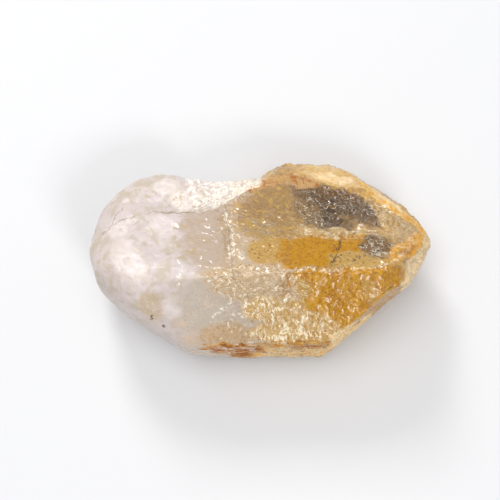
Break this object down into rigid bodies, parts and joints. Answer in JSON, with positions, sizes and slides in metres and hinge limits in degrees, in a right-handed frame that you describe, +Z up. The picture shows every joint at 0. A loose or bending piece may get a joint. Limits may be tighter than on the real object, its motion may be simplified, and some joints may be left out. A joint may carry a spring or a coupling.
{
  "type": "lemurian quartz point",
  "caption": "Natural quartz crystal point lying on its side: a worn milky blunt end, a honey-stained clear middle and a chipped sharp tip.",
  "frame": {"origin": "middle of the bounding box's footprint, on the plane that the crystal rests on", "axes": "+X along the crystal from its blunt milky end to its sharp tip, +Y towards the side with the long back slope, +Z up"},
  "size_m": [0.06, 0.035, 0.0215],
  "materials": {
    "quartz": "see-through to milky natural crystal with iron stain, glossy on its faces and frosted where it is broken"
  },
  "bodies": {
    "root": {"quartz_point": "quartz"}
  },
  "joints": []
}
